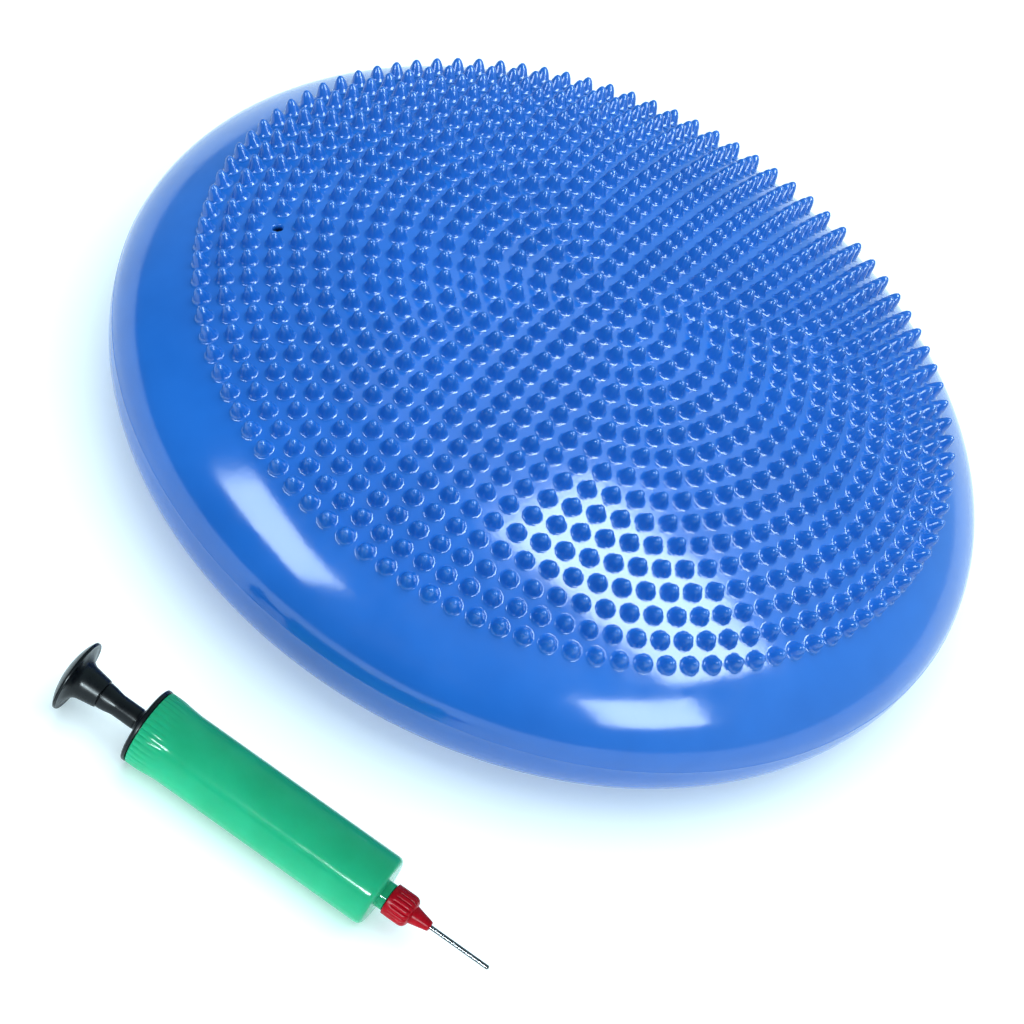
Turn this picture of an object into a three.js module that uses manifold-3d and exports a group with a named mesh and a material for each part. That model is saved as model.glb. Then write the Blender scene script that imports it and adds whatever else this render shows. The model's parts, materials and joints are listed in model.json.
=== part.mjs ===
// Inflatable balance disc with a nubbed crown, and the hand pump that fills it.
//
// Millimetres, +Z up. The origin is the centre of the disc's flat rest face. The pump lies on the
// same surface in front of the disc, towards -Y, with its needle pointing along +X.

import * as THREE from "three";
import { mergeVertices } from "three/addons/utils/BufferGeometryUtils.js";
import Module from "manifold-3d";

const wasm = await Module();
wasm.setup();

// ---- Disc -------------------------------------------------------------------------------------

const DISC_RADIUS = 165;
const SEAM_HEIGHT = 34;

// Both halves of the skin are superellipses: (r / radius)^p + (height / rise)^q = 1.
const UPPER = { rise: 57, p: 2.1, q: 1.85 };
const LOWER = { rise: 36, p: 6, q: 2.2 };

const NUB_HEIGHT = 5.8;
const NUB_FIELD_RADIUS = 144;
const CROWN_POINTS = 10;
const RIM_POINTS = 6;
const UNDER_POINTS = 6;
const DISC_SIDES = 64;

const SKIN_WALL = 3;
const CROWN_WALL = 4.4;

// The filling valve takes the place of one nub, part way out on the crown.
const VALVE_RADIUS = 118.5;
const VALVE_AZIMUTH = THREE.MathUtils.degToRad(192.2);
const VALVE_MOUTH_RADIUS = 1.8;
const VALVE_BORE_RADIUS = 4;
const VALVE_BOSS_RADIUS = 6.5;
const VALVE_BOSS_DEPTH = 18;
const VALVE_LIP = 3;
const VALVE_CORE_RADIUS = 3.7;
const VALVE_CORE_LENGTH = 12;
const VALVE_SIDES = 16;

// ---- Pump, measured along its axis from the rim of the handle's flange --------------------------

const PUMP_X = -99.6;
const PUMP_Y = -203.8;
const PUMP_YAW = THREE.MathUtils.degToRad(-10.1);
const PUMP_SIDES = 24;
const FIT_GAP = 0.3;

const EDGE_ROUNDING = 0.4;

const HANDLE_RADIUS = 13.3;
const HANDLE_CROWN = 3.4;
const HANDLE_RIM = 0.8;
const HANDLE_NECK_START = 4.6;
const HANDLE_NECK_RADIUS = 5.9;
const HANDLE_SOCKET_FLOOR = 2;
const HANDLE_SOCKET_END = 11.2;
const HANDLE_SOCKET_RADIUS = 5.3;

const ROD_RADIUS = 3.95;
const ROD_COLLAR_RADIUS = 4.85;
const ROD_COLLAR_END = 17;
const ROD_END = 116;

const CAP_START = 28.2;
const CAP_RIM_RADIUS = 14;
const CAP_COLLAR_RADIUS = 5.4;
const CAP_COLLAR_LENGTH = 1.6;
const CAP_GUIDE_RADIUS = 6.4;
const CAP_PLATE = 1.2;
const CAP_SKIRT_RADIUS = 12.4;
const CAP_SKIRT_WALL = 1.8;
const CAP_SKIRT_END = 36.5;

const BARREL_START = 30.3;
const BARREL_END = 126.4;
const BARREL_RADIUS = 13.2;
const BARREL_BORE = 12;
const BARREL_END_RADIUS = 2;
const BARREL_FLOOR = 2.4;
const MOUTH_RADIUS = 13.9;
const MOUTH_BORE = 12.7;
const MOUTH_BAND = 4;
const MOUTH_END = 42;

const NOZZLE_RADIUS = 5;
const NOZZLE_BORE = 3.6;
const NOZZLE_END = 129.2;
const VALVE_SEAT = 124.4;
const VALVE_SEAT_WALL = 1.4;
const FLAP_THICKNESS = 0.8;
const OUTLET_RADIUS = 0.9;

const HEAD_RADIUS = 11.6;
const HEAD_START = 108;
const HEAD_END = 122.7;
const HEAD_SLEEVE_RADIUS = 6.5;
const HEAD_FLANGE = 2;
const GROOVE_START = 117.8;
const GROOVE_END = 121.2;
const GROOVE_RADIUS = 9.2;
const SEAL_RADIUS = 11.85;
const SEAL_ROUNDING = 0.5;

const HUB_RADIUS = 5.8;
const HUB_START = NOZZLE_END + FIT_GAP;
const HUB_GRIP_END = 138.6;
const HUB_GRIP_SHOULDER = 2.6;
const HUB_CONE_RADIUS = 3.3;
const HUB_END = 146;
const HUB_END_RADIUS = 1.75;
const HUB_STUB_START = 126;
const HUB_STUB_RADIUS = NOZZLE_BORE - FIT_GAP;
const HUB_AIRWAY = 0.8;
const WASHER_THICKNESS = 0.9;
const WASHER_RADIUS = 4.7;

const NEEDLE_RADIUS = 0.8;
const NEEDLE_BORE = 0.5;
const NEEDLE_START = 134;
const NEEDLE_END = 169.6;
const NEEDLE_PLUG = 2;
const NEEDLE_HOLE_RADIUS = 0.45;
const NEEDLE_HOLE_FROM_TIP = 4;

// ---- Materials ----------------------------------------------------------------------------------

const bluePvc = () => new THREE.MeshStandardMaterial({ color: 0x235fd2, roughness: 0.3 });
const greyRubber = () => new THREE.MeshStandardMaterial({ color: 0x24282e, roughness: 0.7 });
const blackPlastic = () => new THREE.MeshStandardMaterial({ color: 0x101014, roughness: 0.35 });
const greenPlastic = () => new THREE.MeshStandardMaterial({
  color: 0x32c396,
  roughness: 0.25,
  transparent: true,
  opacity: 0.8,
});
const redPlastic = () => new THREE.MeshStandardMaterial({ color: 0xd20a28, roughness: 0.3 });
const paleRubber = () => new THREE.MeshStandardMaterial({ color: 0xd9dc8a, roughness: 0.6 });
const steel = () => new THREE.MeshStandardMaterial({
  color: 0xc8ccd0,
  roughness: 0.2,
  metalness: 1,
});

// ---- Helpers ------------------------------------------------------------------------------------

// A solid of revolution about +Z. The outline is [radius, height] pairs, anticlockwise.
function revolve(outline, sides) {
  const points = outline.map(([radius, height]) => new THREE.Vector2(radius, height));
  return new THREE.LatheGeometry(points, sides).rotateX(Math.PI / 2);
}

// A solid of revolution about +X. The outline is [station, radius] pairs: along the outside
// first, then back through the bore where there is one.
function turn(outline) {
  const heights = outline.map(([station, radius]) => [radius, station]);
  return revolve(heights, PUMP_SIDES).rotateY(Math.PI / 2);
}

function toSolid(geometry) {
  const bare = geometry.clone();
  bare.deleteAttribute("normal");
  bare.deleteAttribute("uv");
  const merged = mergeVertices(bare);
  return new wasm.Manifold(new wasm.Mesh({
    numProp: 3,
    vertProperties: merged.attributes.position.array,
    triVerts: new Uint32Array(merged.index.array),
  }));
}

function toGeometry(solid) {
  const mesh = solid.getMesh();
  const geometry = new THREE.BufferGeometry();
  geometry.setAttribute("position", new THREE.BufferAttribute(mesh.vertProperties, 3));
  geometry.setIndex(new THREE.BufferAttribute(mesh.triVerts, 1));
  geometry.computeVertexNormals();
  return geometry;
}

function named(name, geometry, material) {
  const mesh = new THREE.Mesh(geometry, material);
  mesh.name = name;
  return mesh;
}

// ---- Disc skin ----------------------------------------------------------------------------------

// Radius and height above the seam, for an angle that runs from 0 at the seam to 90 degrees on
// the axis.
function skinPoint(half, angle) {
  const radius = DISC_RADIUS * Math.cos(angle) ** (2 / half.p);
  const height = half.rise * Math.sin(angle) ** (2 / half.q);
  return [radius, height];
}

// The angle at which the skin has the given radius.
function skinAngle(half, radius) {
  return Math.acos((radius / DISC_RADIUS) ** (half.p / 2));
}

// The skin's outward normal at a radius, as [outward, upward].
function skinNormal(half, radius) {
  const [, height] = skinPoint(half, skinAngle(half, radius));
  const outward = half.p / DISC_RADIUS * (radius / DISC_RADIUS) ** (half.p - 1);
  const upward = half.q / half.rise * (height / half.rise) ** (half.q - 1);
  const length = Math.hypot(outward, upward);
  return [outward / length, upward / length];
}

// The crown follows the tips of the nubs, so it stands proud of the skin by their height.
function crownPoint(radius) {
  const [, height] = skinPoint(UPPER, skinAngle(UPPER, radius));
  const [outward, upward] = skinNormal(UPPER, radius);
  return [radius + NUB_HEIGHT * outward, SEAM_HEIGHT + height + NUB_HEIGHT * upward];
}

function outerOutline() {
  const outline = [[0, 0]];
  const underEnd = Math.asin((SEAM_HEIGHT / LOWER.rise) ** (LOWER.q / 2));
  for (let i = 0; i <= UNDER_POINTS; i += 1) {
    const [radius, depth] = skinPoint(LOWER, underEnd * (1 - i / UNDER_POINTS));
    outline.push([radius, i === 0 ? 0 : SEAM_HEIGHT - depth]);
  }
  const rimEnd = skinAngle(UPPER, NUB_FIELD_RADIUS + 2);
  for (let i = 1; i <= RIM_POINTS; i += 1) {
    const [radius, height] = skinPoint(UPPER, rimEnd * i / RIM_POINTS);
    outline.push([radius, SEAM_HEIGHT + height]);
  }
  for (let i = 0; i < CROWN_POINTS; i += 1) {
    outline.push(crownPoint((NUB_FIELD_RADIUS - 2) * (1 - i / CROWN_POINTS)));
  }
  outline.push([0, SEAM_HEIGHT + UPPER.rise + NUB_HEIGHT]);
  return outline;
}

// The cavity's wall is the skin moved inwards: further under the crown, whose wall also holds
// the plastic of the nubs.
function innerOutline() {
  const outline = [[0, SKIN_WALL]];
  const scale = (DISC_RADIUS - SKIN_WALL) / DISC_RADIUS;
  const underRise = SEAM_HEIGHT - SKIN_WALL;
  const crownRise = UPPER.rise + NUB_HEIGHT - CROWN_WALL;
  const quarter = Math.PI / 2;
  const steps = 8;
  for (let i = 1; i <= steps; i += 1) {
    const [across, depth] = skinPoint(LOWER, quarter * (1 - i / steps));
    outline.push([across * scale, SEAM_HEIGHT - depth * underRise / LOWER.rise]);
  }
  for (let i = 1; i < steps; i += 1) {
    const [across, height] = skinPoint(UPPER, quarter * i / steps);
    outline.push([across * scale, SEAM_HEIGHT + height * crownRise / UPPER.rise]);
  }
  outline.push([0, SEAM_HEIGHT + crownRise]);
  return outline;
}

// ---- Valve --------------------------------------------------------------------------------------

// A point on the valve's axis, at a depth below the skin.
function placeValve(object, depth) {
  const [, height] = skinPoint(UPPER, skinAngle(UPPER, VALVE_RADIUS));
  const [outward, upward] = skinNormal(UPPER, VALVE_RADIUS);
  const axis = new THREE.Vector3(
    outward * Math.cos(VALVE_AZIMUTH),
    outward * Math.sin(VALVE_AZIMUTH),
    upward,
  );
  const mouth = new THREE.Vector3(
    VALVE_RADIUS * Math.cos(VALVE_AZIMUTH),
    VALVE_RADIUS * Math.sin(VALVE_AZIMUTH),
    SEAM_HEIGHT + height,
  );
  object.position.copy(mouth).addScaledVector(axis, -depth);
  object.quaternion.setFromUnitVectors(new THREE.Vector3(0, 0, 1), axis);
  object.updateMatrix();
  return object;
}

// A cylinder on the valve's axis, from one depth to a greater one.
function valveCylinder(radius, fromDepth, toDepth) {
  const length = toDepth - fromDepth;
  const geometry = new THREE.CylinderGeometry(radius, radius, length, VALVE_SIDES);
  geometry.rotateX(Math.PI / 2);
  const place = placeValve(new THREE.Object3D(), (fromDepth + toDepth) / 2);
  return toSolid(geometry.applyMatrix4(place.matrix));
}

// The skin, with a boss inside it that grips the valve. The mouth at the top is narrower than
// the bore below it, so the air inside cannot push the valve out.
function makeBladder() {
  const cavity = toSolid(revolve(innerOutline(), DISC_SIDES));
  const boss = valveCylinder(VALVE_BOSS_RADIUS, -NUB_HEIGHT / 2, VALVE_BOSS_DEPTH);
  const recess = valveCylinder(VALVE_BOSS_RADIUS / 2, -2 * NUB_HEIGHT, 0);
  const mouth = valveCylinder(VALVE_MOUTH_RADIUS, -NUB_HEIGHT, VALVE_BOSS_DEPTH + 1);
  const bore = valveCylinder(VALVE_BORE_RADIUS, VALVE_LIP, VALVE_BOSS_DEPTH + 1);
  const skin = toSolid(revolve(outerOutline(), DISC_SIDES))
    .subtract(cavity)
    .add(boss)
    .subtract(recess)
    .subtract(mouth)
    .subtract(bore);
  return named("bladder", toGeometry(skin), bluePvc());
}

// A soft plug with a pinched channel that closes again when the needle is pulled out.
function makeValveCore() {
  const channelRadius = 0.6;
  const channelDepth = 0.75 * VALVE_CORE_LENGTH;
  const rounding = 0.8;
  const outline = [
    [0, 0],
    [VALVE_CORE_RADIUS - rounding, 0],
    [VALVE_CORE_RADIUS, rounding],
    [VALVE_CORE_RADIUS, VALVE_CORE_LENGTH],
    [channelRadius * 2, VALVE_CORE_LENGTH],
    [channelRadius, VALVE_CORE_LENGTH - 1],
    [channelRadius, VALVE_CORE_LENGTH - channelDepth],
    [0, VALVE_CORE_LENGTH - channelDepth - channelRadius],
  ];
  const core = named("valve_core", revolve(outline, VALVE_SIDES), greyRubber());
  return placeValve(core, VALVE_LIP + FIT_GAP + VALVE_CORE_LENGTH);
}

// ---- Pump pieces --------------------------------------------------------------------------------

// A mushroom: a flange with a gently domed palm face, dished on the rod's side, on a tapered
// socket.
function makeHandle() {
  const bore = ROD_RADIUS + FIT_GAP;
  const palmFace = [
    [-HANDLE_CROWN, 0],
    [-HANDLE_CROWN * 0.86, HANDLE_RADIUS * 0.38],
    [-HANDLE_CROWN * 0.5, HANDLE_RADIUS * 0.72],
    [-HANDLE_CROWN * 0.2, HANDLE_RADIUS * 0.93],
  ];
  const rim = [
    [0, HANDLE_RADIUS],
    [HANDLE_RIM, HANDLE_RADIUS - HANDLE_RIM / 2],
  ];
  const dishedBack = [
    [HANDLE_RIM * 0.75, HANDLE_RADIUS * 0.9],
    [HANDLE_RIM * 1.1, HANDLE_RADIUS * 0.71],
    [HANDLE_RIM * 3.2, HANDLE_RADIUS * 0.51],
  ];
  const socket = [
    [HANDLE_NECK_START, HANDLE_NECK_RADIUS],
    [HANDLE_SOCKET_END - EDGE_ROUNDING, HANDLE_SOCKET_RADIUS],
    [HANDLE_SOCKET_END, HANDLE_SOCKET_RADIUS - EDGE_ROUNDING],
    [HANDLE_SOCKET_END, bore],
    [HANDLE_SOCKET_FLOOR, bore],
    [HANDLE_SOCKET_FLOOR, 0],
  ];
  return named("handle", turn([...palmFace, ...rim, ...dishedBack, ...socket]), blackPlastic());
}

// The rod swells into a collar that butts against the handle's socket.
function makePistonRod() {
  const start = HANDLE_SOCKET_FLOOR + FIT_GAP;
  const collarStart = HANDLE_SOCKET_END + FIT_GAP;
  const collarMiddle = (collarStart + ROD_COLLAR_END) / 2;
  return named("piston_rod", turn([
    [start, 0],
    [start, ROD_RADIUS],
    [collarStart, ROD_RADIUS],
    [collarStart, ROD_COLLAR_RADIUS],
    [collarMiddle, ROD_COLLAR_RADIUS - EDGE_ROUNDING],
    [ROD_COLLAR_END, ROD_RADIUS],
    [ROD_END, ROD_RADIUS],
    [ROD_END, 0],
  ]), blackPlastic());
}

// A spool on the end of the rod, with a groove for the seal.
function makePistonHead() {
  const bore = ROD_RADIUS + FIT_GAP;
  const backFlange = GROOVE_START - HEAD_FLANGE;
  return named("piston_head", turn([
    [HEAD_START, bore],
    [HEAD_START, HEAD_SLEEVE_RADIUS],
    [backFlange, HEAD_SLEEVE_RADIUS],
    [backFlange, HEAD_RADIUS],
    [GROOVE_START, HEAD_RADIUS],
    [GROOVE_START, GROOVE_RADIUS],
    [GROOVE_END, GROOVE_RADIUS],
    [GROOVE_END, HEAD_RADIUS],
    [HEAD_END, HEAD_RADIUS],
    [HEAD_END, 0],
    [ROD_END + FIT_GAP, 0],
    [ROD_END + FIT_GAP, bore],
    [HEAD_START, bore],
  ]), blackPlastic());
}

function makePistonSeal() {
  const start = GROOVE_START + FIT_GAP;
  const end = GROOVE_END - FIT_GAP;
  const inner = GROOVE_RADIUS + FIT_GAP;
  return named("piston_seal", turn([
    [start, inner],
    [start, SEAL_RADIUS - SEAL_ROUNDING],
    [start + SEAL_ROUNDING, SEAL_RADIUS],
    [end - SEAL_ROUNDING, SEAL_RADIUS],
    [end, SEAL_RADIUS - SEAL_ROUNDING],
    [end, inner],
    [start, inner],
  ]), paleRubber());
}

// The cap closes the barrel's mouth, guides the rod, and stops the piston on the back stroke.
function makeBarrelCap() {
  const bore = ROD_RADIUS + FIT_GAP;
  const collarStart = CAP_START - CAP_COLLAR_LENGTH;
  const rimEnd = BARREL_START - FIT_GAP;
  const plateEnd = rimEnd + CAP_PLATE;
  const skirtBore = CAP_SKIRT_RADIUS - CAP_SKIRT_WALL;
  const guideEnd = CAP_SKIRT_END - CAP_PLATE;
  return named("barrel_cap", turn([
    [collarStart, bore],
    [collarStart, CAP_COLLAR_RADIUS - 2 * EDGE_ROUNDING],
    [collarStart + 2 * EDGE_ROUNDING, CAP_COLLAR_RADIUS],
    [CAP_START, CAP_RIM_RADIUS - 3 * EDGE_ROUNDING],
    [CAP_START + EDGE_ROUNDING, CAP_RIM_RADIUS],
    [rimEnd, CAP_RIM_RADIUS],
    [rimEnd, CAP_SKIRT_RADIUS],
    [CAP_SKIRT_END, CAP_SKIRT_RADIUS],
    [CAP_SKIRT_END, skirtBore],
    [plateEnd, skirtBore],
    [plateEnd, CAP_GUIDE_RADIUS],
    [guideEnd, CAP_GUIDE_RADIUS],
    [guideEnd, bore],
    [collarStart, bore],
  ]), blackPlastic());
}

// A tube with a flared mouth and a rounded end. The nozzle in the end holds the outlet valve and
// the thread for the needle's hub.
function makeBarrel() {
  const floorStart = BARREL_END - BARREL_FLOOR;
  const floorCorner = 1.5;
  const bossStart = VALVE_SEAT - VALVE_SEAT_WALL;
  const mouthBoreEnd = MOUTH_END - 3;
  return named("barrel", turn([
    [BARREL_START, MOUTH_BORE],
    [BARREL_START, MOUTH_RADIUS],
    [BARREL_START + MOUTH_BAND, MOUTH_RADIUS],
    [MOUTH_END, BARREL_RADIUS],
    [BARREL_END - BARREL_END_RADIUS, BARREL_RADIUS],
    [BARREL_END - BARREL_END_RADIUS * 0.3, BARREL_RADIUS - BARREL_END_RADIUS * 0.3],
    [BARREL_END, BARREL_RADIUS - BARREL_END_RADIUS],
    [BARREL_END, NOZZLE_RADIUS],
    [NOZZLE_END, NOZZLE_RADIUS],
    [NOZZLE_END, NOZZLE_BORE],
    [VALVE_SEAT, NOZZLE_BORE],
    [VALVE_SEAT, OUTLET_RADIUS],
    [bossStart, OUTLET_RADIUS],
    [bossStart, NOZZLE_RADIUS],
    [floorStart, NOZZLE_RADIUS + EDGE_ROUNDING],
    [floorStart, BARREL_BORE - floorCorner],
    [floorStart - floorCorner, BARREL_BORE],
    [mouthBoreEnd, BARREL_BORE],
    [CAP_SKIRT_END + 1, MOUTH_BORE],
    [BARREL_START, MOUTH_BORE],
  ]), greenPlastic());
}

// A rubber disc on the outlet's seat. It bends off the seat to let air out to the needle.
function makeOutletFlap() {
  const start = VALVE_SEAT + FIT_GAP;
  const radius = NOZZLE_BORE - FIT_GAP;
  return named("outlet_flap", turn([
    [start, 0],
    [start, radius],
    [start + FLAP_THICKNESS, radius],
    [start + FLAP_THICKNESS, 0],
  ]), greyRubber());
}

function makeHubWasher() {
  const bore = HUB_STUB_RADIUS + FIT_GAP;
  const end = HUB_START + WASHER_THICKNESS;
  return named("hub_washer", turn([
    [HUB_START, bore],
    [HUB_START, WASHER_RADIUS],
    [end, WASHER_RADIUS],
    [end, bore],
    [HUB_START, bore],
  ]), greyRubber());
}

// The grip that screws into the nozzle: a threaded stub, a recess for the washer, the grip's
// drum and a cone down to the needle.
function makeNeedleHub() {
  const recessRadius = WASHER_RADIUS + FIT_GAP;
  const recessEnd = HUB_START + WASHER_THICKNESS + FIT_GAP;
  const needleFit = NEEDLE_RADIUS + 0.1;
  const needleStop = NEEDLE_START - FIT_GAP;
  return named("needle_hub", turn([
    [HUB_STUB_START, HUB_AIRWAY],
    [HUB_STUB_START, HUB_STUB_RADIUS],
    [recessEnd, HUB_STUB_RADIUS],
    [recessEnd, recessRadius],
    [HUB_START, recessRadius],
    [HUB_START, HUB_RADIUS],
    [HUB_GRIP_END - HUB_GRIP_SHOULDER, HUB_RADIUS],
    [HUB_GRIP_END - HUB_GRIP_SHOULDER / 3, HUB_RADIUS - 0.6],
    [HUB_GRIP_END, HUB_RADIUS - 1.5],
    [HUB_GRIP_END + 0.6, HUB_CONE_RADIUS],
    [HUB_END - EDGE_ROUNDING, HUB_END_RADIUS],
    [HUB_END, HUB_END_RADIUS - EDGE_ROUNDING / 2],
    [HUB_END, needleFit],
    [needleStop, needleFit],
    [needleStop, HUB_AIRWAY],
    [HUB_STUB_START, HUB_AIRWAY],
  ]), redPlastic());
}

// A steel tube, closed and rounded at the tip, with its outlet in one side.
function makeNeedle() {
  const tip = NEEDLE_END;
  const boreEnd = NEEDLE_END - NEEDLE_PLUG;
  const tube = toSolid(turn([
    [NEEDLE_START, NEEDLE_BORE],
    [NEEDLE_START, NEEDLE_RADIUS],
    [tip - NEEDLE_RADIUS, NEEDLE_RADIUS],
    [tip - NEEDLE_RADIUS * 0.3, NEEDLE_RADIUS * 0.7],
    [tip, 0],
    [boreEnd, 0],
    [boreEnd, NEEDLE_BORE],
    [NEEDLE_START, NEEDLE_BORE],
  ]));
  const drillLength = 2;
  const drill = new THREE.CylinderGeometry(
    NEEDLE_HOLE_RADIUS,
    NEEDLE_HOLE_RADIUS,
    drillLength,
    PUMP_SIDES / 2,
  );
  drill.rotateX(Math.PI / 2);
  drill.translate(tip - NEEDLE_HOLE_FROM_TIP, 0, drillLength / 2);
  return named("needle", toGeometry(tube.subtract(toSolid(drill))), steel());
}

// ---- Assembly -----------------------------------------------------------------------------------

const disc = new THREE.Group();
disc.add(makeBladder());
disc.add(makeValveCore());

// The pump lies on its cap's rim and on the far end of its barrel, which is a little slimmer, so
// it tips forward slightly.
const pump = new THREE.Group();
const rimStation = BARREL_START - FIT_GAP;
const footStation = BARREL_END - BARREL_END_RADIUS;
const tilt = Math.atan((CAP_RIM_RADIUS - BARREL_RADIUS) / (footStation - rimStation));
const axisHeight = CAP_RIM_RADIUS * Math.cos(tilt) + rimStation * Math.sin(tilt);
pump.position.set(PUMP_X, PUMP_Y, axisHeight);
pump.rotation.order = "ZYX";
pump.rotation.z = PUMP_YAW;
pump.rotation.y = tilt;
pump.add(makeHandle());
pump.add(makePistonRod());
pump.add(makePistonHead());
pump.add(makePistonSeal());
pump.add(makeBarrelCap());
pump.add(makeBarrel());
pump.add(makeOutletFlap());
pump.add(makeHubWasher());
pump.add(makeNeedleHub());
pump.add(makeNeedle());

const group = new THREE.Group();
group.add(disc);
group.add(pump);
group.updateMatrixWorld(true);

export default group;
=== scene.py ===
"""Looks of the inflatable balance disc and its hand pump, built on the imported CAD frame.

Every object is in metres in the frame's own axes: +Z up, the origin at the centre of the disc's
rest face, the pump towards -Y. Shapes are worked out in millimetres and scaled once, where their
meshes are made.
"""

import json
import math

import bpy
import numpy as np
from mathutils import Matrix, Vector


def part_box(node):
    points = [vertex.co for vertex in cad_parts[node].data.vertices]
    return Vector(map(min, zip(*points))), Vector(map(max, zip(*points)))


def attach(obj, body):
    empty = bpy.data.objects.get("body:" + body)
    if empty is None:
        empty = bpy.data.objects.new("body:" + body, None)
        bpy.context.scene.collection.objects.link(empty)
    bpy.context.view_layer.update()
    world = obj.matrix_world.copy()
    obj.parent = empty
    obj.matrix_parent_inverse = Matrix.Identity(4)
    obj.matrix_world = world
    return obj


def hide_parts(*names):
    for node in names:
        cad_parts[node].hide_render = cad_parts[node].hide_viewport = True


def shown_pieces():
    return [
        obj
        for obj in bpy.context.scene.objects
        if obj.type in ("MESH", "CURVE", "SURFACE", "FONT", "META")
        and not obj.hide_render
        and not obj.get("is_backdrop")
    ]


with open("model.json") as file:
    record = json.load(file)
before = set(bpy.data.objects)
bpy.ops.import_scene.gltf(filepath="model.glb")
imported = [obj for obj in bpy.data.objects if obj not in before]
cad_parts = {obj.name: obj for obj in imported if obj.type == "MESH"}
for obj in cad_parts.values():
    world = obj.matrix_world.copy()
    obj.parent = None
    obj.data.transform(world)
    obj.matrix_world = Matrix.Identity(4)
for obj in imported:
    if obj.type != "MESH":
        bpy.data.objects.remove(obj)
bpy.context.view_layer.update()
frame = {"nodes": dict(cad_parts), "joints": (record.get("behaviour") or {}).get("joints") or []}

MM = 0.001


# ---- Meshes -------------------------------------------------------------------------------------


def make_mesh(name, vertices, faces):
    """A smooth-shaded mesh from vertices in millimetres."""
    mesh = bpy.data.meshes.new(name)
    mesh.from_pydata((np.asarray(vertices) * MM).tolist(), [], faces)
    mesh.shade_smooth()
    mesh.update()
    return mesh


def add_piece(name, mesh, body, slot, material, *nodes):
    """Puts a mesh in the scene as a piece that rides on a body and stands for CAD nodes."""
    piece = bpy.data.objects.new(name, mesh)
    bpy.context.scene.collection.objects.link(piece)
    mesh.materials.append(material)
    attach(piece, body)
    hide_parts(*nodes)
    return piece


def cut(vertices, faces, tool_vertices, tool_faces):
    """Subtracts one closed shape from another. Both are in millimetres."""
    shape = bpy.data.objects.new("shape", make_mesh("shape", vertices, faces))
    tool = bpy.data.objects.new("tool", make_mesh("tool", tool_vertices, tool_faces))
    for part in (shape, tool):
        bpy.context.scene.collection.objects.link(part)
    boolean = shape.modifiers.new("cut", "BOOLEAN")
    boolean.operation = "DIFFERENCE"
    boolean.solver = "EXACT"
    boolean.object = tool
    result = bpy.data.meshes.new_from_object(
        shape.evaluated_get(bpy.context.evaluated_depsgraph_get())
    )
    corners = np.array([v.co for v in result.vertices]) / MM
    polygons = [list(p.vertices) for p in result.polygons]
    for part in (shape, tool):
        bpy.data.objects.remove(part)
    bpy.data.meshes.remove(result)
    return corners, polygons


def round_corners(points, steps=5):
    """Rounds an outline's corners. A point is (x, y) or (x, y, rounding)."""
    flat = [np.array(p[:2], float) for p in points]
    rounded = []
    for i, point in enumerate(points):
        rounding = point[2] if len(point) > 2 else 0
        here = flat[i]
        if not rounding:
            rounded.append(tuple(here))
            continue
        before = flat[i - 1] - here
        after = flat[(i + 1) % len(points)] - here
        start = here + before / np.linalg.norm(before) * rounding
        end = here + after / np.linalg.norm(after) * rounding
        for t in np.linspace(0, 1, steps):
            curve = (1 - t) ** 2 * start + 2 * t * (1 - t) * here + t**2 * end
            rounded.append(tuple(curve))
    return rounded


def split_long(points, longest):
    """Adds points along an outline, so that no step is longer than the given length."""
    split = [points[0]]
    for start, end in zip(points, points[1:]):
        length = math.dist(start, end)
        count = max(1, math.ceil(length / longest))
        for k in range(1, count + 1):
            split.append(tuple(np.array(start) + (np.array(end) - start) * k / count))
    return split


def lathe(outline, sides, relief=None):
    """A solid of revolution about +Z from (radius, height) points, anticlockwise about the solid.

    The outline starts and ends on the axis, or closes on itself. relief(radius, height, angles)
    gives the radii round one ring, for flutes and ribs.
    """
    on_axis = outline[0][0] == 0
    angles = np.arange(sides) * 2 * math.pi / sides
    vertices, rings = [], []
    for radius, height in outline:
        if radius == 0:
            rings.append([len(vertices)])
            vertices.append((0, 0, height))
            continue
        radii = relief(radius, height, angles) if relief else np.full(sides, radius)
        rings.append(list(range(len(vertices), len(vertices) + sides)))
        around = np.stack([radii * np.cos(angles), radii * np.sin(angles)], 1)
        vertices.extend((x, y, height) for x, y in around)
    faces = []
    pairs = list(zip(rings, rings[1:]))
    if not on_axis:
        pairs.append((rings[-1], rings[0]))
    for low, high in pairs:
        for i in range(sides if len(low) + len(high) > 2 else 0):
            j = (i + 1) % sides
            if len(low) == 1:
                faces.append([low[0], high[j], high[i]])
            elif len(high) == 1:
                faces.append([low[i], low[j], high[0]])
            else:
                faces.append([low[i], low[j], high[j], high[i]])
    return np.array(vertices, float), faces


# ---- Materials ----------------------------------------------------------------------------------


def new_material(name):
    """A node material with only its Principled shader and that shader's output."""
    material = bpy.data.materials.new(name)
    material.use_nodes = True
    nodes = material.node_tree.nodes
    return material, nodes, material.node_tree.links, nodes["Principled BSDF"]


def add_noise(nodes, links, scale, detail=3, roughness=0.5):
    """Noise fixed to the piece's own mesh, in grains per metre."""
    place = nodes.new("ShaderNodeTexCoord")
    noise = nodes.new("ShaderNodeTexNoise")
    noise.inputs["Scale"].default_value = scale
    noise.inputs["Detail"].default_value = detail
    noise.inputs["Roughness"].default_value = roughness
    links.new(place.outputs["Object"], noise.inputs["Vector"])
    return noise


# A noise seldom leaves this range.
NOISE_LOW, NOISE_HIGH = 0.3, 0.7


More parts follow.
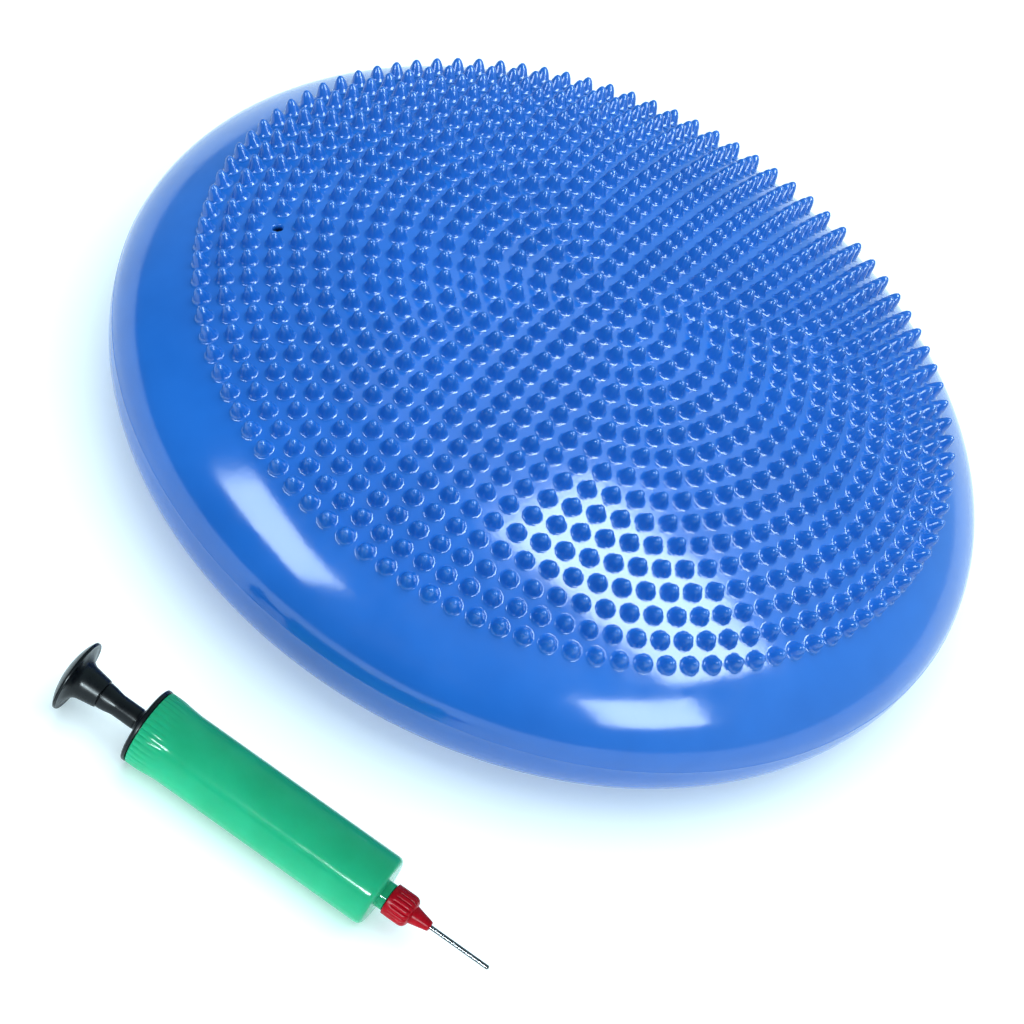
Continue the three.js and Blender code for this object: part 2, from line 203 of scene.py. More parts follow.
def vary_colour(nodes, links, shader, noise, dark, light):
    ramp = nodes.new("ShaderNodeValToRGB")
    ramp.color_ramp.elements[0].position = NOISE_LOW
    ramp.color_ramp.elements[0].color = (*dark, 1)
    ramp.color_ramp.elements[1].position = NOISE_HIGH
    ramp.color_ramp.elements[1].color = (*light, 1)
    links.new(noise.outputs["Fac"], ramp.inputs["Fac"])
    links.new(ramp.outputs["Color"], shader.inputs["Base Color"])


def vary_roughness(nodes, links, shader, noise, low, high):
    spread = nodes.new("ShaderNodeMapRange")
    spread.inputs["From Min"].default_value = NOISE_LOW
    spread.inputs["From Max"].default_value = NOISE_HIGH
    spread.inputs["To Min"].default_value = low
    spread.inputs["To Max"].default_value = high
    links.new(noise.outputs["Fac"], spread.inputs["Value"])
    links.new(spread.outputs["Result"], shader.inputs["Roughness"])


def add_bump(nodes, links, shader, noise, depth):
    """Bumps on top of any that the shader already has."""
    bump = nodes.new("ShaderNodeBump")
    bump.inputs["Distance"].default_value = depth
    links.new(noise.outputs["Fac"], bump.inputs["Height"])
    if shader.inputs["Normal"].is_linked:
        links.new(shader.inputs["Normal"].links[0].from_socket, bump.inputs["Normal"])
    links.new(bump.outputs["Normal"], shader.inputs["Normal"])


WAVES_PER_METRE = 22
GRAIN_DEPTH = 0.02 * MM


def make_moulding(
    name, dark, light, gloss, mottle, grain, depth=GRAIN_DEPTH, waves=0, sockets=None
):
    """Moulded plastic or rubber: faint mottling, uneven gloss, a fine grain and broad waves.

    mottle and grain are in patches per metre, depth and waves are the heights of the grain and of
    the waves, and sockets holds other values of the shader by socket name.
    """
    material, nodes, links, shader = new_material(name)
    for socket, value in (sockets or {}).items():
        shader.inputs[socket].default_value = value
    patches = add_noise(nodes, links, mottle)
    vary_colour(nodes, links, shader, patches, dark, light)
    vary_roughness(nodes, links, shader, add_noise(nodes, links, mottle * 3), *gloss)
    if waves:
        add_bump(nodes, links, shader, add_noise(nodes, links, WAVES_PER_METRE, detail=1), waves)
    add_bump(nodes, links, shader, add_noise(nodes, links, grain), depth)
    return material


blue_pvc = make_moulding(
    "blue_pvc",
    dark=(0.011, 0.116, 0.48),
    light=(0.015, 0.138, 0.55),
    gloss=(0.1, 0.16),
    mottle=30,
    grain=420,
    waves=0.5 * MM,
    sockets={"IOR": 1.58},
)

black_plastic = make_moulding(
    "black_plastic",
    dark=(0.0035, 0.004, 0.006),
    light=(0.0065, 0.0075, 0.011),
    gloss=(0.24, 0.36),
    mottle=150,
    grain=1500,
    sockets={"Specular IOR Level": 0.22},
)

green_plastic = make_moulding(
    "green_plastic",
    dark=(0.024, 0.49, 0.235),
    light=(0.03, 0.56, 0.28),
    gloss=(0.08, 0.14),
    mottle=70,
    grain=700,
    depth=0.01 * MM,
    sockets={
        "Subsurface Weight": 0.3,
        "Subsurface Scale": 1.5 * MM,
        "Specular IOR Level": 0.14,
    },
)

red_plastic = make_moulding(
    "red_plastic",
    dark=(0.5, 0.001, 0.01),
    light=(0.62, 0.002, 0.016),
    gloss=(0.2, 0.32),
    mottle=200,
    grain=1800,
    sockets={"Specular IOR Level": 0.1},
)

pale_rubber = make_moulding(
    "pale_rubber",
    dark=(0.6, 0.72, 0.2),
    light=(0.78, 0.84, 0.32),
    gloss=(0.35, 0.5),
    mottle=300,
    grain=2500,
)

dark_rubber = make_moulding(
    "dark_rubber",
    dark=(0.012, 0.014, 0.018),
    light=(0.03, 0.034, 0.04),
    gloss=(0.6, 0.8),
    mottle=400,
    grain=3000,
    depth=0.04 * MM,
)


def make_steel():
    """Plated steel, dark as in the photo, and a little uneven in its tone and polish."""
    material, nodes, links, shader = new_material("needle_steel")
    shader.inputs["Metallic"].default_value = 1
    specks = add_noise(nodes, links, 900, detail=5)
    vary_colour(nodes, links, shader, specks, dark=(0.12, 0.12, 0.125), light=(0.16, 0.16, 0.17))
    vary_roughness(nodes, links, shader, specks, low=0.1, high=0.14)
    return material


needle_steel = make_steel()


# ---- Disc ---------------------------------------------------------------------------------------

bladder_low, bladder_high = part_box("bladder")
DISC_RADIUS = (bladder_high.x - bladder_low.x) / 2 / MM
DISC_HEIGHT = bladder_high.z / MM
SEAM_HEIGHT = 34
NUB_HEIGHT = 5.8

# Both halves of the skin are superellipses: (r / radius)^p + (height / rise)^q = 1.
UPPER = {"rise": DISC_HEIGHT - SEAM_HEIGHT - NUB_HEIGHT, "p": 2.1, "q": 1.85}
LOWER = {"rise": 36, "p": 6, "q": 2.2}

SKIN_SIDES = 160
SEAM_RIDGE = 0.16
SEAM_RIDGE_WIDTH = 0.3

# Where the outline's steps change, as shares of the disc's radius.
UNDER_EDGE = 0.8
RIM_TOP = 0.87
CROWN_EDGE = 0.865

# Nubs and feet lie in rings round a middle one: 6 in the first ring, and 6n in ring n.
FIRST_RING = 6

NUB_RINGS = 17
NUB_PITCH = 8.55
NUB_START_ANGLE = math.radians(16.5)
NUB_SIDES = 12
# (radius, height above the skin), foot first.
NUB_PROFILE = [
    (3.9, -0.15),
    (3.15, 0.25),
    (2.65, 1.5),
    (2.1, 3.4),
    (1.4, 4.85),
    (0.65, 5.62),
    (0, NUB_HEIGHT),
]
NUB_FOOT_SLOPE = 0.12

# One nub's place is taken by the filling valve: a funnel in the skin, a narrow mouth, and a wider
# bore below it that holds the plug. Depths are below the skin.
VALVE_RING = 14
VALVE_INDEX = 41
VALVE_FUNNEL_RADIUS = 2.5
VALVE_FUNNEL_DEPTH = 1.2
VALVE_MOUTH_RADIUS = 1.8
VALVE_MOUTH_DEPTH = 3
VALVE_BORE_RADIUS = 4
VALVE_BORE_DEPTH = 16

# The underside runs smoothly into a flat that is lowered from this clearance above the floor.
UNDER_CLEARANCE = 0.9
UNDER_SOFTNESS = 2
UNDER_LOWERED = 0.2

# Small feet under the disc stand on the floor.
FOOT_PITCH = 12
FOOT_RINGS = 9
FOOT_RADIUS = 2.6
FOOT_SIDES = 8


def height_at(half, radius):
    """The skin's height above or below the seam at a radius."""
    share = 1 - (radius / DISC_RADIUS) ** half["p"]
    return half["rise"] * max(share, 0) ** (1 / half["q"])


def radius_at(half, height):
    """The skin's radius at a height above or below the seam."""
    share = 1 - (height / half["rise"]) ** half["q"]
    return DISC_RADIUS * max(share, 0) ** (1 / half["p"])


def skin_normal(half, radius, height):
    """Outward and upward (or downward) parts of the skin's unit normal."""
    outward = half["p"] / DISC_RADIUS * (radius / DISC_RADIUS) ** (half["p"] - 1)
    away = half["q"] / half["rise"] * (height / half["rise"]) ** (half["q"] - 1)
    length = math.hypot(outward, away)
    return outward / length, away / length


def soften_under(height):
    """Flattens the underside gently where it would pass below its clearance above the floor."""
    over = height - UNDER_CLEARANCE
    return UNDER_CLEARANCE + (over + math.hypot(over, UNDER_SOFTNESS)) / 2 - UNDER_LOWERED


def skin_outline():
    """The skin's outline for the lathe: the underside, the rim with its seam, and the crown."""
    outline = []
    under_radii = np.arange(0, UNDER_EDGE * DISC_RADIUS, 8)
    for radius in under_radii:
        outline.append((radius, SEAM_HEIGHT - height_at(LOWER, radius)))

    # Steps in the sine of an angle crowd together where the rim is steep.
    under_edge = height_at(LOWER, under_radii[-1])
    for depth in under_edge * np.sin(np.linspace(80, 3, 20) * math.pi / 180):
        outline.append((radius_at(LOWER, depth), SEAM_HEIGHT - depth))
    for height in np.linspace(-1, 1, 9) * SEAM_RIDGE_WIDTH * 1.5:
        half = UPPER if height > 0 else LOWER
        ridge = SEAM_RIDGE * math.exp(-((height / SEAM_RIDGE_WIDTH) ** 2))
        outline.append((radius_at(half, abs(height)) + ridge, SEAM_HEIGHT + height))
    rim_top = height_at(UPPER, RIM_TOP * DISC_RADIUS)
    for height in rim_top * np.sin(np.linspace(2, 85, 24) * math.pi / 180):
        outline.append((radius_at(UPPER, height), SEAM_HEIGHT + height))

    for radius in np.linspace(CROWN_EDGE * DISC_RADIUS, 0, 36):
        outline.append((radius, SEAM_HEIGHT + height_at(UPPER, radius)))
    return [(radius, soften_under(height)) for radius, height in outline]


def crown_radii():
    """The radius of each ring of nubs: rings lie evenly along the skin from its top."""
    beyond_nubs = 0.95 * DISC_RADIUS
    radii = np.linspace(0, beyond_nubs, 4000)
    heights = np.array([height_at(UPPER, r) for r in radii])
    arc = np.concatenate([[0], np.cumsum(np.hypot(np.diff(radii), np.diff(heights)))])
    return np.interp(np.arange(1, NUB_RINGS + 1) * NUB_PITCH, arc, radii)


def crown_place(radius, angle):
    """The matrix that stands something on the crown, with +Z along the skin's normal."""
    height = height_at(UPPER, radius)
    outward, upward = skin_normal(UPPER, radius, height)
    normal = Vector((outward * math.cos(angle), outward * math.sin(angle), upward))
    turn = normal.to_track_quat("Z", "Y").to_matrix().to_4x4()
    foot = Vector((radius * math.cos(angle), radius * math.sin(angle), SEAM_HEIGHT + height))
    return Matrix.Translation(foot) @ turn


def move(vertices, matrix):
    """Vertices moved by a matrix, as arrays."""
    turn = np.array(matrix.to_3x3())
    return vertices @ turn.T + np.array(matrix.translation)


def nub_places():
    """Every nub's matrix, and apart from them the valve's."""
    nearly_middle = 0.001
    places = [crown_place(nearly_middle, 0)]
    valve = None
    for ring, radius in enumerate(crown_radii(), start=1):
        count = FIRST_RING * ring
        for index in range(count):
            place = crown_place(radius, NUB_START_ANGLE + index * math.tau / count)
            if (ring, index) == (VALVE_RING, VALVE_INDEX):
                valve = place
            else:
                places.append(place)
    return places, valve


def foot_places():
    """The matrix of each small foot. They lie in rings under the disc."""
    places = [Matrix.Identity(4)]
    for ring in range(1, FOOT_RINGS + 1):
        radius = ring * FOOT_PITCH
        count = FIRST_RING * ring
        for index in range(count):
            angle = index * math.tau / count
            spot = Vector((radius * math.cos(angle), radius * math.sin(angle), 0))
            places.append(Matrix.Translation(spot))
    return places


def vertex_normals(vertices, faces):
    """The smooth normals that the mesh has by itself."""
    mesh = make_mesh("normals", vertices, faces)
    normals = np.array([n.vector for n in mesh.vertex_normals])
    bpy.data.meshes.remove(mesh)
    return normals


def nub_normals(vertices, faces):
    """A nub's normals, turned towards the skin's own at its foot, where it flares into the skin."""
    normals = vertex_normals(vertices, faces)
    outward = vertices[:, :2] / np.maximum(np.hypot(*vertices[:, :2].T), 1e-6)[:, None]
    foot = vertices[:, 2] < 0
    normals[foot] = np.column_stack([outward[foot] * NUB_FOOT_SLOPE, np.ones(foot.sum())])
    return normals / np.linalg.norm(normals, axis=1)[:, None]


class Shell:
    """Gathers closed shapes, with the normal of each vertex, into one mesh."""

    def __init__(self):
        self.vertices, self.normals, self.faces, self.count = [], [], [], 0

    def add(self, vertices, faces, normals):
        self.faces.extend([[i + self.count for i in face] for face in faces])
        self.vertices.append(vertices)
        self.normals.append(normals)
        self.count += len(vertices)

    def make(self, name):
        """The mesh of all the shapes, with the gathered normals."""
        mesh = make_mesh(name, np.concatenate(self.vertices), self.faces)
        mesh.normals_split_custom_set_from_vertices(np.concatenate(self.normals).tolist())
        return mesh


def valve_outline():
    """The outline of what is cut out of the skin for the valve, with the skin at height 0."""
    return [
        (0, -VALVE_BORE_DEPTH),
        (VALVE_BORE_RADIUS, -VALVE_BORE_DEPTH),
        (VALVE_BORE_RADIUS, -VALVE_MOUTH_DEPTH),
        (VALVE_MOUTH_RADIUS, -VALVE_MOUTH_DEPTH),
        (VALVE_MOUTH_RADIUS, -VALVE_FUNNEL_DEPTH),
        (VALVE_FUNNEL_RADIUS, 0.1),
        (VALVE_FUNNEL_RADIUS, 1),
        (0, 1),
    ]


def foot_outline():
    """A rounded foot from the floor up into the skin above it."""
    skin_height = skin_outline()[0][1]
    top = skin_height + 0.3
    return [
        (0, 0),
        (FOOT_RADIUS * 0.45, 0.06),
        (FOOT_RADIUS * 0.8, skin_height * 0.45),
        (FOOT_RADIUS, top),
        (0, top),
    ]


def skin_vertex_normals(vertices, faces, valve):
    """The true normals above the seam. Below it and in the valve they stay as the mesh has them."""
    normals = vertex_normals(vertices, faces)
    from_valve = move(vertices, valve.inverted())
    near_valve = np.hypot(from_valve[:, 0], from_valve[:, 1]) < VALVE_BORE_RADIUS + 2
    near_valve &= np.abs(from_valve[:, 2]) < VALVE_BORE_DEPTH + 4
    below_its_edge = from_valve[:, 2] < -0.25
    valve_wall = near_valve & below_its_edge
    for i, (x, y, z) in enumerate(vertices):
        radius = math.hypot(x, y)
        height = z - SEAM_HEIGHT
        if height < 1 or radius < 1e-6 or valve_wall[i]:
            continue
        outward, upward = skin_normal(UPPER, radius, height)
        normals[i] = (outward * x / radius, outward * y / radius, upward)
    return normals


def make_disc():
    """The skin with its valve cut out, its nubs, and its feet, in one mesh."""
    nubs, valve = nub_places()
    skin, skin_faces = lathe(skin_outline(), SKIN_SIDES)
    tool, tool_faces = lathe(valve_outline(), 32)
    skin, skin_faces = cut(skin, skin_faces, move(tool, valve), tool_faces)
    shell = Shell()
    shell.add(skin, skin_faces, skin_vertex_normals(skin, skin_faces, valve))

    flat_foot = (0, NUB_PROFILE[0][1])
    nub, nub_faces = lathe([flat_foot, *NUB_PROFILE], NUB_SIDES)
    normals = nub_normals(nub, nub_faces)
    for place in nubs:
        shell.add(move(nub, place), nub_faces, normals @ np.array(place.to_3x3()).T)

    foot, foot_faces = lathe(foot_outline(), FOOT_SIDES)
    normals = vertex_normals(foot, foot_faces)
    for place in foot_places():
        shell.add(move(foot, place), foot_faces, normals)
    return shell.make("disc_skin")


disc = add_piece("disc_skin", make_disc(), "disc", "blue_pvc", blue_pvc, "bladder")


# ---- Pump ---------------------------------------------------------------------------------------

joints = {joint["name"]: joint for joint in frame["joints"]}
PUMP_AXIS = Vector(joints["hub_advance"]["axis"]).normalized()
HUB_POINT = Vector(joints["hub_turn"]["pos_m"])
HUB_STATION = 135

# Sizes that several shapes share. BARREL_MOUTH and NEEDLE_TIP are stations along the pump.
ROD_RADIUS = 3.95
ROD_HOLE = 4.25
BARREL_RADIUS = 13.2
BARREL_BORE = 12
BARREL_MOUTH = 30.3
NEEDLE_RADIUS = 0.8
NEEDLE_BORE = 0.5
NEEDLE_TIP = 169.6

# Degrees between faces that make an edge sharp.
SHARP_ANGLE = 35


def pump_matrix():
    """The pump's place, with +Z along it. Stations are counted from the rim of its handle."""
    side = Vector((0, 0, 1)).cross(PUMP_AXIS).normalized()
    up = PUMP_AXIS.cross(side)
    turn = Matrix((up, side, PUMP_AXIS)).transposed().to_4x4()
    start = HUB_POINT / MM - PUMP_AXIS * HUB_STATION
    return Matrix.Translation(start) @ turn


PUMP = pump_matrix()


def turn_piece(
    name, outline, body, slot, material, node, sides=96, relief=None, sharp=SHARP_ANGLE
):
    """A turned piece of the pump from (radius, station) points."""
    vertices, faces = lathe(outline, sides, relief)
    mesh = make_mesh(name, move(vertices, PUMP), faces)
    mesh.set_sharp_from_angle(angle=math.radians(sharp))
    return add_piece(name, mesh, body, slot, material, node)


def turned(points, longest=6):
    """A rounded outline for the lathe from (station, radius, rounding) points in its order."""
    rounded = round_corners([(p[1], p[0], *p[2:]) for p in points])
    outline = split_long(rounded, longest)
    return [(0.0, s) if abs(r) < 1e-9 else (float(r), float(s)) for r, s in outline]


def make_handle():
    """A shallow dome for the palm, its flange, and the sleeve that the rod sits in."""
    radius, dome = 13.3, 3.4
    palm = [
        (radius * math.sin(t), -dome * math.cos(t) ** 1.6)
        for t in np.linspace(0, math.pi / 2 - 0.12, 14)
    ]
    back = turned(
        [
            (0.15, radius, 0.35),
            (1.0, radius - 0.25, 0.35),
            (0.75, radius - 1.2, 0.6),
            (1.1, 9.4, 1.6),
            (3.2, 6.5, 1.6),
            (10.9, 5.3, 0.3),
            (11.2, 5.0, 0.15),
            (11.2, ROD_HOLE),
            (2, ROD_HOLE),
            (2, 0),
        ],
        longest=math.inf,
    )
    return turn_piece(
        "handle_knob",
        palm + back,
        "plunger",
        "black_plastic",
        black_plastic,
        "handle",
        sides=128,
    )


def make_rod():
    """A plain rod, with a tapered collar at the handle and a groove just outside the cap."""
    outline = turned(
        [
            (2.3, 0),
            (2.3, ROD_RADIUS),
            (11.5, ROD_RADIUS),
            (11.5, 4.85, 0.2),
            (14, 4.6, 1),
            (17, ROD_RADIUS, 1),
            (25.6, ROD_RADIUS, 0.1),
            (25.8, 3.8, 0.1),
            (26.2, 3.8, 0.1),
            (26.4, ROD_RADIUS, 0.1),
            (115.6, ROD_RADIUS, 0.3),
            (116, 3.5),
            (116, 0),
        ]
    )
    return turn_piece("rod", outline, "plunger", "black_plastic", black_plastic, "piston_rod")


def make_head():
    """The piston head: a spool whose groove holds the seal, with a socket for the rod."""
    outline = turned(
        [
            (108, ROD_HOLE),
            (108, 6.5, 0.4),
            (115.8, 6.5, 0.4),
            (115.8, 11.6, 0.3),
            (117.8, 11.6, 0.3),
            (117.8, 9.2),
            (121.2, 9.2),
            (121.2, 11.6, 0.3),
            (122.7, 11.6, 0.3),
            (122.7, 0),
            (116.3, 0),
            (116.3, ROD_HOLE),
        ]
    )
    return turn_piece(
        "head_spool", outline, "plunger", "black_plastic", black_plastic, "piston_head"
    )


def make_cap():
    """The cap: a flange over the barrel's mouth, a skirt inside it, and the rod's guide."""
    outline = turned(
        [
            (26.6, ROD_HOLE),
            (26.6, 5.0, 0.25),
            (27.3, 5.4, 0.3),
            (27.6, 7.2, 0.8),
            (28.1, 12.6, 0.8),
            (28.7, 14.0, 0.4),
            (30.0, 14.0, 0.2),
            (30.0, 12.4),
            (36.5, 12.4, 0.3),
            (36.5, 10.6, 0.3),
            (31.2, 10.6),
            (31.2, 6.4),
            (35.3, 6.4),
            (35.3, ROD_HOLE),
        ]
    )
    return turn_piece(
        "end_cap",
        outline,
        "pump_barrel",
        "black_plastic",
        black_plastic,
        "barrel_cap",
        sides=128,
    )


RIBS = 38
RIB_DEPTH = 0.3
RIB_END = 40
RIB_FOOT = 12.9
SIDES_PER_RIB = 8


def rib_relief(radius, station, angles):
    """Ribs round the barrel's mouth, deepest at its edge and gone by the end of the taper."""
    if radius < RIB_FOOT or station > RIB_END:
        return np.full(len(angles), radius)
    fade = ((RIB_END - station) / (RIB_END - BARREL_MOUTH)) ** 0.7
    wave = np.abs(np.sin(angles * RIBS / 2)) ** 0.8
    return radius - RIB_DEPTH * fade * (1 - wave)


def make_barrel():
    """The tube: a ribbed taper at its mouth, a closed end with a nozzle, and the bore."""
    mouth = split_long([(12.8, BARREL_MOUTH), (13.6, BARREL_MOUTH)], 1)
    taper = [
        (13.9, 30.5),
        (13.9, 31),
        (13.9, 32),
        (13.9, 33),
        (13.9, 34.3),
        (13.82, 35.5),
        (13.7, 37),
        (13.5, 39),
        (13.32, 41),
        (13.22, 43),
        (BARREL_RADIUS, 46),
    ]
    tube = turned(
        [
            (46, BARREL_RADIUS),
            (126.4, BARREL_RADIUS, 2.4),
            (126.4, 5.0, 0.4),
            (129.2, 5.0, 0.3),
            (129.2, 3.6),
            (124.4, 3.6),
            (124.4, 0.9),
            (123, 0.9),
            (123, 5),
            (124, 5.4),
            (124, BARREL_BORE, 1.5),
            (39, BARREL_BORE),
            (37.5, 12.7),
        ],
        longest=4,
    )
    return turn_piece(
        "barrel_tube",
        mouth + taper + tube[1:],
        "pump_barrel",
        "green_plastic",
        green_plastic,
        "barrel",
        sides=RIBS * SIDES_PER_RIB,
        relief=rib_relief,
    )


FLUTES = 18
FLUTE_DEPTH = 0.55
FLUTE_START = 131.2
FLUTE_END = 138.3
FLUTE_FOOT = 4.6
FLUTE_RUN_OUT = 0.5
SIDES_PER_FLUTE = 16


def flute_relief(radius, station, angles):
    """Wide rounded ridges with narrow grooves between them round the hub's grip."""
    if radius < FLUTE_FOOT or not FLUTE_START < station < FLUTE_END:
        return np.full(len(angles), radius)
    near_start = min(1, (station - FLUTE_START) / FLUTE_RUN_OUT)
    wave = np.abs(np.sin(angles * FLUTES / 2)) ** 0.45
    return radius - FLUTE_DEPTH * near_start * (1 - wave)


def make_hub():
    """The needle's hub: a stub for the nozzle, a fluted grip and a cone, bored for the needle."""
    outline = turned(
        [
            (126, NEEDLE_RADIUS),
            (126, 3.3, 0.3),
            (130.7, 3.3),
            (130.7, 5.0),
            (129.5, 5.0),
            (129.5, 5.8, 0.25),
            (138.6, 5.8, 2.4),
            (138.9, 3.35, 0.25),
            (145.8, 1.8, 0.5),
            (146, 0.9),
            (133.7, 0.9),
            (133.7, NEEDLE_RADIUS),
        ],
        longest=0.5,
    )
    return turn_piece(
        "hub_grip",
        outline,
        "needle_unit",
        "red_plastic",
        red_plastic,
        "needle_hub",
        sides=FLUTES * SIDES_PER_FLUTE,
        relief=flute_relief,
        sharp=50,
    )


def make_needle():
    """A tube with a round closed tip and one air hole in its side, near the tip."""
    outline = turned(
        [
            (134, NEEDLE_BORE),
            (134, NEEDLE_RADIUS),
            (NEEDLE_TIP, NEEDLE_RADIUS, 0.7),
            (NEEDLE_TIP, 0),
            (NEEDLE_TIP - 2, 0),
            (NEEDLE_TIP - 2, NEEDLE_BORE),
        ],
        longest=4,
    )
    tube, faces = lathe(outline, 32)
    hole_radius, hole_length, hole_station = 0.45, 2, 165.6
    drill, drill_faces = lathe(
        [(0, 0), (hole_radius, 0), (hole_radius, hole_length), (0, hole_length)], 24
    )
    across = Matrix.Translation((0, 0, hole_station)) @ Matrix.Rotation(math.pi / 2, 4, "Y")
    tube, faces = cut(tube, faces, move(drill, across), drill_faces)
    mesh = make_mesh("needle_tube", move(tube, PUMP), faces)
    mesh.set_sharp_from_angle(angle=math.radians(SHARP_ANGLE))
    return add_piece("needle_tube", mesh, "needle_unit", "needle_steel", needle_steel, "needle")


def make_seal():
    """The seal ring in the piston head's groove."""
    outline = turned(
        [
            (118.1, 9.5),
            (118.1, 11.85, 0.5),
            (120.9, 11.85, 0.5),
            (120.9, 9.5),
        ]
    )
    return turn_piece("seal_ring", outline, "plunger", "seal_rubber", pale_rubber, "piston_seal")


make_handle()
make_rod()
make_head()
make_seal()
make_cap()
make_barrel()
make_hub()
make_needle()

# Three small rubber pieces are shown as the CAD has them, and only get their material here.
for node in ("valve_core", "outlet_flap", "hub_washer"):
    for material_slot in frame["nodes"][node].material_slots:
        material_slot.material = dark_rubber


# ---- Stage, light and camera --------------------------------------------------------------------

COOL_WHITE = (0.83, 1.0, 1.06)
FLOOR_HALF_WIDTH = 6000


def make_floor():
    """White paper that glows a little, as a sheet lit from below does, so shadows stay faint."""
    material, nodes, links, shader = new_material("floor_paper")
    paper = add_noise(nodes, links, 25)
    vary_colour(nodes, links, shader, paper, dark=(0.77, 0.77, 0.77), light=(0.79, 0.79, 0.79))
    shader.inputs["Roughness"].default_value = 0.9
    shader.inputs["Specular IOR Level"].default_value = 0.1
    shader.inputs["Emission Color"].default_value = (*COOL_WHITE, 1)
    shader.inputs["Emission Strength"].default_value = 0.35
    half = FLOOR_HALF_WIDTH
    corners = [(-half, -half, 0), (half, -half, 0), (half, half, 0), (-half, half, 0)]
    mesh = make_mesh("floor", corners, [[0, 1, 2, 3]])
    mesh.materials.append(material)
    floor = bpy.data.objects.new("floor", mesh)
    bpy.context.scene.collection.objects.link(floor)
    floor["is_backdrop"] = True


def direction(azimuth, elevation):
    """The unit vector towards an azimuth, counted from +X, and an elevation, both in degrees."""
    a, e = math.radians(azimuth), math.radians(elevation)
    return Vector((math.cos(a) * math.cos(e), math.sin(a) * math.cos(e), math.sin(e)))


def add_softbox(name, place, distance, size, radiance, along, does, target):
    """A rectangular softbox that faces the target from an (azimuth, elevation).

    Its width lies along a direction, as seen from the target. It either lights pieces ("diffuse")
    or only draws highlights on them ("gloss").
    """
    towards = direction(*place)
    data = bpy.data.lights.new(name, "AREA")
    data.shape = "RECTANGLE"
    data.size, data.size_y = size
    data.energy = radiance * math.pi * size[0] * size[1]
    data.color = COOL_WHITE
    lamp = bpy.data.objects.new(name, data)
    bpy.context.scene.collection.objects.link(lamp)
    side = towards.cross(Vector(along)).normalized()
    turn = Matrix((side.cross(towards), side, towards)).transposed().to_4x4()
    lamp.matrix_world = Matrix.Translation(Vector(target) + towards * distance) @ turn
    lamp.visible_camera = False
    lamp.visible_glossy = does == "gloss"
    lamp.visible_diffuse = does == "diffuse"
    return lamp


def add_softboxes(softboxes, group_name, pieces, state):
    """Adds softboxes that light only some pieces ("INCLUDE"), or all but these ("EXCLUDE")."""
    lamps = [add_softbox(*softbox) for softbox in softboxes]
    group = bpy.data.collections.new(group_name)
    for piece in pieces:
        group.objects.link(piece)
    for member in group.collection_objects:
        member.light_linking.link_state = state
    for lamp in lamps:
        lamp.light_linking.receiver_collection = group


# Brightness at places from the room's dark corner, at 0, to its bright one, at 1.
ROOM = [(0.25, 0.1), (0.42, 0.36), (0.8, 0.75)]
BRIGHT_CORNER = (0.7, 0.7, 0)
SKY_TINT = (0.68, 1.02, 1.06)
PALE_PAPER = (0.9, 0.9, 0.9)


def make_world():
    """A room that is dark behind the camera and to its left, and bright beyond the object."""
    world = bpy.data.worlds.new("room")
    world.use_nodes = True
    bpy.context.scene.world = world
    nodes, links = world.node_tree.nodes, world.node_tree.links
    background = nodes["Background"]
    place = nodes.new("ShaderNodeTexCoord")
    across = nodes.new("ShaderNodeVectorMath")
    across.operation = "DOT_PRODUCT"
    across.inputs[1].default_value = BRIGHT_CORNER
    wall = nodes.new("ShaderNodeMapRange")
    wall.inputs["From Min"].default_value = -1
    wall.inputs["From Max"].default_value = 1
    ramp = nodes.new("ShaderNodeValToRGB")
    ramp.color_ramp.elements.new(0.5)
    for element, (position, brightness) in zip(ramp.color_ramp.elements, ROOM):
        element.position = position
        element.color = (*(Vector(SKY_TINT) * brightness), 1)
    links.new(place.outputs["Generated"], across.inputs[0])
    links.new(across.outputs["Value"], wall.inputs["Value"])
    links.new(wall.outputs["Result"], ramp.inputs["Fac"])
    links.new(ramp.outputs["Color"], background.inputs["Color"])

    # The camera itself sees plain pale paper beyond the floor's edge.
    paper = nodes.new("ShaderNodeBackground")
    paper.inputs["Color"].default_value = (*PALE_PAPER, 1)
    rays = nodes.new("ShaderNodeLightPath")
    mix = nodes.new("ShaderNodeMixShader")
    links.new(rays.outputs["Is Camera Ray"], mix.inputs["Fac"])
    links.new(background.outputs["Background"], mix.inputs[1])
    links.new(paper.outputs["Background"], mix.inputs[2])
    links.new(mix.outputs["Shader"], nodes["World Output"].inputs["Surface"])


DISC_MIDDLE = (0, 0, 0.06)
PUMP_MIDDLE = HUB_POINT - PUMP_AXIS * 0.06
STRIP_AIM = HUB_POINT + PUMP_AXIS * 0.15

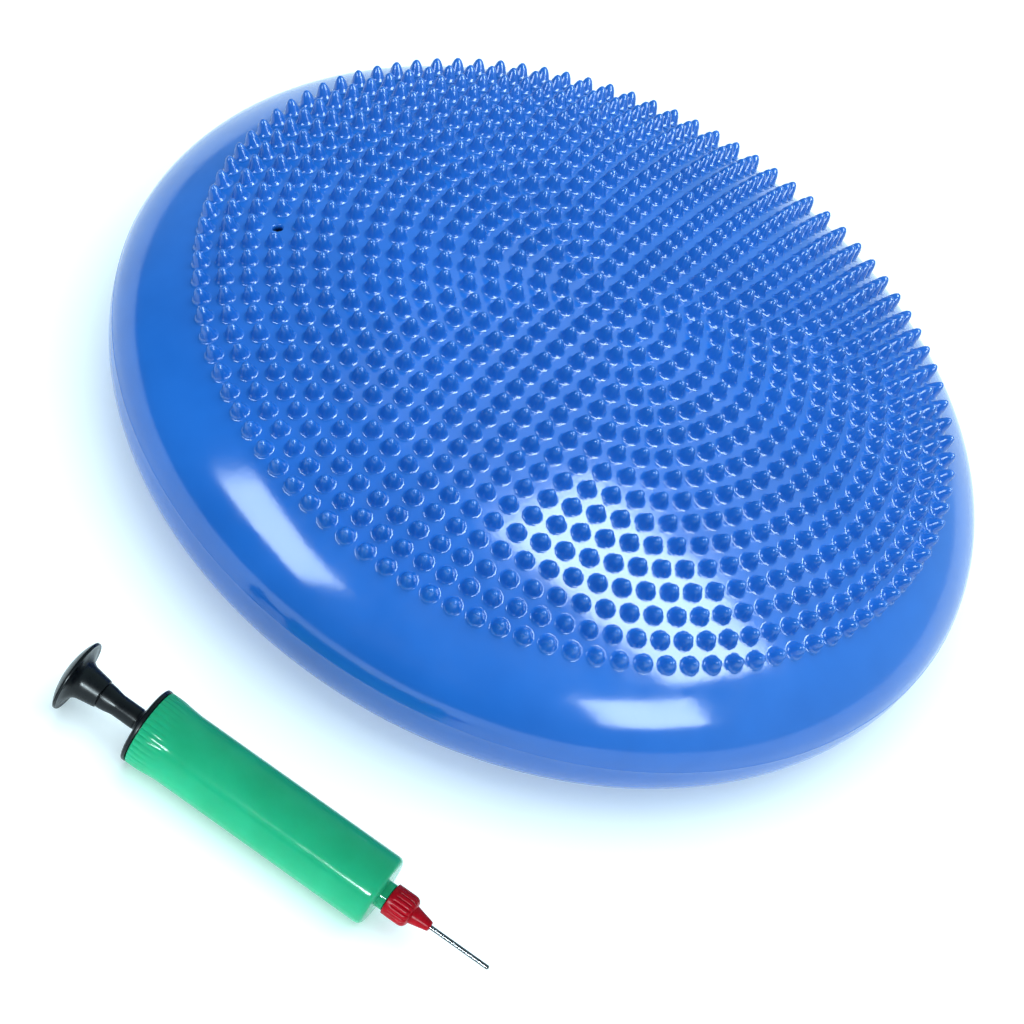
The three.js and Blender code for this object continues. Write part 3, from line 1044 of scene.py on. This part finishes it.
# Name, (azimuth, elevation), distance, (width, length), radiance, direction of the width, what the
# box does, and where it points. Two wide boxes light the disc and the floor, and the other four
# only draw highlights on the disc.
DISC_SOFTBOXES = [
    ("overhead", (0, 88), 4, (5, 5), 2.4, (1, 0, 0), "diffuse", DISC_MIDDLE),
    ("front", (-100, 45), 4, (3, 3), 2.2, (1, 0, 0), "diffuse", DISC_MIDDLE),
    ("left_box", (-140, 42), 4, (1.3, 2.0), 10.5, (0, 0, 1), "gloss", DISC_MIDDLE),
    ("front_box", (-32, 36), 4, (1.3, 1.6), 11.5, (0, 0, 1), "gloss", DISC_MIDDLE),
    ("top_strip", (18, 66), 4, (3.1, 1.5), 14.5, (2, -1, -0.6), "gloss", DISC_MIDDLE),
    ("top_glow", (72, 62), 4.3, (4.2, 3.2), 0.7, (2, -1, 0), "gloss", DISC_MIDDLE),
]

# The pump is lit from low in front, with one narrow strip that draws the line along its barrel.
PUMP_SOFTBOXES = [
    ("pump_key", (-125, 30), 2, (1.5, 1.5), 3.3, (1, 0, 0), "diffuse", PUMP_MIDDLE),
    ("pump_strip", (-98, 24), 1.2, (0.65, 0.08), 200, PUMP_AXIS, "gloss", STRIP_AIM),
]


def add_lights():
    """One set for the disc's skin and the floor, one for the pump and the valve's small plug."""
    small_pieces = [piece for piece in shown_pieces() if piece != disc]
    add_softboxes(DISC_SOFTBOXES, "all_but_pump", small_pieces, "EXCLUDE")
    add_softboxes(PUMP_SOFTBOXES, "only_pump", small_pieces, "INCLUDE")


CAMERA_PLACE = (0.0047, -1.2768, 1.2133)
CAMERA_ELEVATION = math.radians(44.05)
CAMERA_ROLL = math.radians(27.44)
CAMERA_LENS = 168.5


def add_camera():
    """A long lens, rolled so that the disc tips down to the right."""
    elevation, roll = CAMERA_ELEVATION, CAMERA_ROLL
    right = Vector((1, 0, 0))
    up = Vector((0, math.sin(elevation), math.cos(elevation)))
    back = Vector((0, -math.cos(elevation), math.sin(elevation)))
    across = right * math.cos(roll) + up * math.sin(roll)
    upward = up * math.cos(roll) - right * math.sin(roll)
    data = bpy.data.cameras.new("camera")
    data.sensor_width = 36
    data.lens = CAMERA_LENS
    camera = bpy.data.objects.new("camera", data)
    bpy.context.scene.collection.objects.link(camera)
    turn = Matrix((across, upward, back)).transposed().to_4x4()
    camera.matrix_world = Matrix.Translation(CAMERA_PLACE) @ turn
    bpy.context.scene.camera = camera


make_floor()
make_world()
add_lights()
add_camera()
bpy.context.scene.view_settings.view_transform = "Standard"
